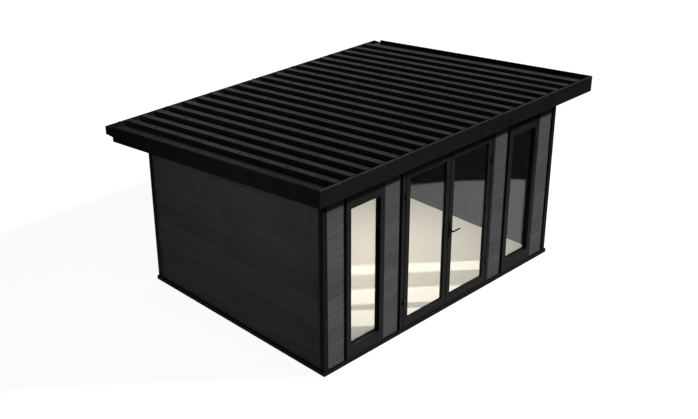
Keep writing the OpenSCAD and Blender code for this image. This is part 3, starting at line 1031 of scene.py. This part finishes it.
@dataclass
class Studio:
    """Pale floor, soft light and the camera."""

    floor_half: float = 60.0
    bright_radius: float = 4.8
    bounce: str = "#343434"
    sun_azimuth: float = 50.0
    sun_elevation: float = 31.0
    sun_strength: float = 4.95
    sun_spread: float = 3.0
    sky: float = 0.12
    sky_mirrored: float = 0.06
    room_light: float = 54.5
    back_light: float = 70.0
    side_light: float = 19.0
    seen_diffuse: float = 0.2
    seen_glow: float = 0.92
    disc_mirrored: float = 0.74
    disc_edge: float = 0.04
    lamp_aim: tuple[float, float, float] = (0, 0, 1.2)
    sun_far: float = 12.0
    back_turn: float = -3.0
    back_up: float = 20.0
    back_far: float = 11.0
    back_size: tuple[float, float] = (12.0, 6.0)
    side_aim: tuple[float, float, float] = (-2.0, 0, 0.9)
    side_offset: tuple[float, float, float] = (-2.0, -0.3, 2.2)
    side_size: tuple[float, float] = (4.0, 0.5)
    room_x: float = 0.38
    room_drop: float = 0.03
    room_size: tuple[float, float] = (3.0, 2.4)
    azimuth: float = -45.0
    elevation: float = 26.56
    distance: float = 13.67
    target: tuple[float, float, float] = (-0.603, -0.478, 1.2)
    lens: float = 58.0
    sensor: float = 36.0

    @staticmethod
    def direction(azimuth: float, elevation: float) -> Vector:
        """Unit vector from the object to a viewer: azimuth 0 is in front, looking along +Y."""
        a, e = math.radians(azimuth), math.radians(elevation)
        return Vector((math.sin(a) * math.cos(e), -math.cos(a) * math.cos(e), math.sin(e)))

    def floor_material(self) -> Material:
        """Pale floor: near white to the camera with a soft shadow, a bright disc in mirror images."""
        material, tree, output, place = new_material("studio_floor_painted")
        path = add(tree, "ShaderNodeLightPath").outputs
        radius = add(tree, "ShaderNodeVectorMath", {"operation": "LENGTH"}, i0=place).outputs["Value"]
        rim = (self.bright_radius + self.disc_edge, self.bright_radius - self.disc_edge)
        disc = spread(tree, radius, rim, (0.0, self.disc_mirrored))
        plain = add(tree, "ShaderNodeBsdfDiffuse", None, Color=linear(self.bounce))
        white = add(tree, "ShaderNodeBsdfDiffuse", None, Color=(*[self.seen_diffuse] * 3, 1))
        glow = add(tree, "ShaderNodeEmission", None, Color=WHITE, Strength=self.seen_glow)
        seen = add(tree, "ShaderNodeAddShader", None, i0=white.outputs[0], i1=glow.outputs[0])
        mirrored = add(tree, "ShaderNodeEmission", None, Color=WHITE, Strength=disc)
        direct = maths(tree, "MAXIMUM", path["Is Camera Ray"], path["Is Transmission Ray"])
        first = add(tree, "ShaderNodeMixShader", None, i0=direct, i1=plain.outputs[0], i2=seen.outputs[0])
        last = add(tree, "ShaderNodeMixShader", None, i0=path["Is Glossy Ray"], i1=first.outputs[0],
                   i2=mirrored.outputs[0])
        tree.links.new(last.outputs[0], output.inputs[0])
        return material

    def world(self) -> None:
        """White to the camera and through glass, an even dim sky for light."""
        world = bpy.data.worlds.new("studio_sky")
        bpy.context.scene.world = world
        world.use_nodes = True
        tree = world.node_tree
        tree.nodes.clear()
        path = add(tree, "ShaderNodeLightPath").outputs
        direct = maths(tree, "MAXIMUM", path["Is Camera Ray"], path["Is Transmission Ray"])
        base = add(tree, "ShaderNodeMix", None, i0=path["Is Glossy Ray"], i2=self.sky, i3=self.sky_mirrored)
        strength = add(tree, "ShaderNodeMix", None, i0=direct, i2=base.outputs[0], i3=1.0)
        glow = add(tree, "ShaderNodeBackground", None, Color=WHITE, Strength=strength.outputs[0])
        output = add(tree, "ShaderNodeOutputWorld")
        tree.links.new(glow.outputs[0], output.inputs[0])

    def lamp(self, name: str, kind: str, place: Vector, aim: Vector, **settings: object) -> bpy.types.Object:
        """A lamp at a place, aimed at a point.

        Args:
            name: the lamp's name.
            kind: SUN or AREA.
            place: where it stands.
            aim: what it looks at.
            settings: the lamp's own values.

        Returns:
            The lamp.
        """
        data = bpy.data.lights.new(name, kind)
        for key, value in settings.items():
            setattr(data, key, value)
        lamp = bpy.data.objects.new(name, data)
        bpy.context.scene.collection.objects.link(lamp)
        lamp.location = place
        lamp.rotation_euler = (Vector(aim) - Vector(place)).to_track_quat("-Z", "Y").to_euler()
        return lamp

    def panel(self, name: str, place: Vector, aim: Vector, energy: float,
              size: tuple[float, float]) -> bpy.types.Object:
        """A flat lamp of a width and a height, not seen itself and not through glass."""
        lamp = self.lamp(name, "AREA", place, aim, energy=energy, shape="RECTANGLE", size=size[0],
                         size_y=size[1])
        lamp.visible_camera = False
        lamp.visible_transmission = False
        return lamp

    def lights(self) -> None:
        """A low soft sun from the front right, and panels behind (the roof's sheen), left and in the room."""
        middle = Vector(self.lamp_aim)
        sun = self.direction(self.sun_azimuth, self.sun_elevation)
        low_sun = self.lamp("low_sun", "SUN", middle + sun * self.sun_far, middle, energy=self.sun_strength,
                            angle=math.radians(self.sun_spread))
        back = self.direction(180 + self.azimuth + self.back_turn, self.back_up)
        self.panel("back_panel", middle + back * self.back_far, middle, self.back_light, self.back_size)
        wall = Vector(self.side_aim)
        lit_from = wall + Vector(self.side_offset)
        side = self.panel("side_panel", lit_from, wall, self.side_light, self.side_size)
        low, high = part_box("ceiling")
        room = Vector((self.room_x, (low.y + high.y) / 2, low.z - self.room_drop))
        glow = self.panel("room_panel", room, room - UP, self.room_light, self.room_size)
        for lamp in (low_sun, side, glow):
            lamp.visible_glossy = False

    def camera(self) -> None:
        """The camera at its azimuth, elevation and distance from the point it looks at."""
        data = bpy.data.cameras.new("camera")
        data.lens, data.sensor_width = self.lens, self.sensor
        camera = bpy.data.objects.new("camera", data)
        bpy.context.scene.collection.objects.link(camera)
        view = self.direction(self.azimuth, self.elevation)
        camera.location = Vector(self.target) + view * self.distance
        camera.rotation_euler = (-view).to_track_quat("-Z", "Y").to_euler()
        bpy.context.scene.camera = camera

    def build(self) -> None:
        """Builds the stage."""
        h = self.floor_half
        mesh = bpy.data.meshes.new("studio_floor")
        mesh.from_pydata([(-h, -h, 0), (h, -h, 0), (h, h, 0), (-h, h, 0)], [], [(0, 1, 2, 3)])
        mesh.materials.append(self.floor_material())
        floor = bpy.data.objects.new("studio_floor", mesh)
        bpy.context.scene.collection.objects.link(floor)
        self.world()
        self.lights()
        self.camera()
        bpy.context.scene.view_settings.view_transform = "Standard"


def main() -> None:
    """Builds the stage, the finishes and each sub-assembly in order."""
    logging.basicConfig(level=logging.INFO, format="%(name)s: %(message)s")
    Studio().build()
    finish = Finishes()
    finish.dress()
    Cladding(finish).build()
    GapStrips(finish).build()
    Corners(finish).build()
    Room(finish).build()
    glazed = GlazedFrame(finish)
    for side, door in (("left", Body.LEFT_DOOR), ("right", Body.RIGHT_DOOR)):
        glazed.build(f"window_{side}", f"window_frame_{side}", f"window_glass_{side}", Body.SHED)
        glazed.build(f"door_{side}", f"door_leaf_{side}", f"door_glass_{side}", door)
    Doorway(finish).build()
    Roof(finish).build()


if __name__ == "__main__":
    main()
